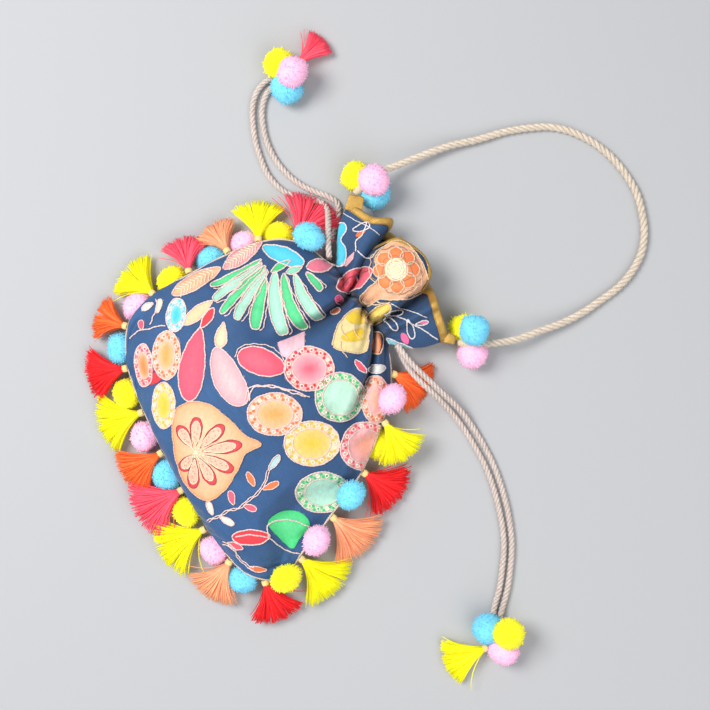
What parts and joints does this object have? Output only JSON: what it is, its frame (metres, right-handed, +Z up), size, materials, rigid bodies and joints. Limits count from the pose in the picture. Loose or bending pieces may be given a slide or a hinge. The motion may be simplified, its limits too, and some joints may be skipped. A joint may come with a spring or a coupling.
{
  "type": "potli bag",
  "caption": "Small drawstring cloth pouch lying flat, drawn shut at the neck, edged with tassels and pompoms, with a rope handle and two drawstrings.",
  "frame": {"origin": "middle of the flat patch of the underside that the pouch lies on", "axes": "+Y from the bottom seam to the mouth, +X across the pouch, +Z up from the surface it lies on"},
  "size_m": [0.4664, 0.4393, 0.049],
  "materials": {
    "blush_cord": "thin twisted three-strand cord, soft sheen",
    "blue_yarn": "matte fluffy yarn",
    "pink_yarn": "matte fluffy yarn",
    "yellow_yarn": "matte fluffy yarn",
    "coral_yarn": "matte fluffy yarn",
    "gold_satin": "soft metallic satin",
    "print_cloth": "woven silk-cotton blend, navy, printed and outlined in chain-stitch thread",
    "cream_rope": "twisted three-strand cord, soft sheen",
    "peach_yarn": "matte fluffy yarn",
    "orange_yarn": "matte fluffy yarn",
    "red_yarn": "matte fluffy yarn"
  },
  "bodies": {
    "root": {"drawstring_left": "blush_cord", "drawstring_left_pompom_blue": "blue_yarn", "drawstring_left_pompom_pink": "pink_yarn", "drawstring_left_pompom_yellow": "yellow_yarn", "drawstring_left_tassel": "coral_yarn", "drawstring_right": "blush_cord", "drawstring_right_pompom_blue": "blue_yarn", "drawstring_right_pompom_pink": "pink_yarn", "drawstring_right_pompom_yellow": "yellow_yarn", "drawstring_right_tassel": "yellow_yarn", "handle_left_pompom_blue": "blue_yarn", "handle_left_pompom_pink": "pink_yarn", "handle_left_pompom_yellow": "yellow_yarn", "handle_right_pompom_blue": "blue_yarn", "handle_right_pompom_pink": "pink_yarn", "handle_right_pompom_yellow": "yellow_yarn", "handle_tab_left": "gold_satin", "handle_tab_right": "gold_satin", "mouth_binding": "gold_satin", "pompom_01_blue": "blue_yarn", "pompom_02_yellow": "yellow_yarn", "pompom_03_pink": "pink_yarn", "pompom_04_blue": "blue_yarn", "pompom_05_yellow": "yellow_yarn", "pompom_06_pink": "pink_yarn", "pompom_07_blue": "blue_yarn", "pompom_08_yellow": "yellow_yarn", "pompom_09_pink": "pink_yarn", "pompom_10_blue": "blue_yarn", "pompom_11_yellow": "yellow_yarn", "pompom_12_pink": "pink_yarn", "pompom_13_blue": "blue_yarn", "pompom_14_yellow": "yellow_yarn", "pompom_15_pink": "pink_yarn", "pompom_16_blue": "blue_yarn", "pompom_17_yellow": "yellow_yarn", "pompom_18_pink": "pink_yarn", "pouch_body": "print_cloth", "rope_handle": "cream_rope", "tassel_01_coral": "coral_yarn", "tassel_02_yellow": "yellow_yarn", "tassel_03_peach": "peach_yarn", "tassel_04_coral": "coral_yarn", "tassel_05_yellow": "yellow_yarn", "tassel_06_orange": "orange_yarn", "tassel_07_red": "red_yarn", "tassel_08_yellow": "yellow_yarn", "tassel_09_orange": "orange_yarn", "tassel_10_coral": "coral_yarn", "tassel_11_yellow": "yellow_yarn", "tassel_12_peach": "peach_yarn", "tassel_13_red": "red_yarn", "tassel_14_yellow": "yellow_yarn", "tassel_15_peach": "peach_yarn", "tassel_16_red": "red_yarn", "tassel_17_yellow": "yellow_yarn", "tassel_18_orange": "orange_yarn"}
  },
  "joints": []
}
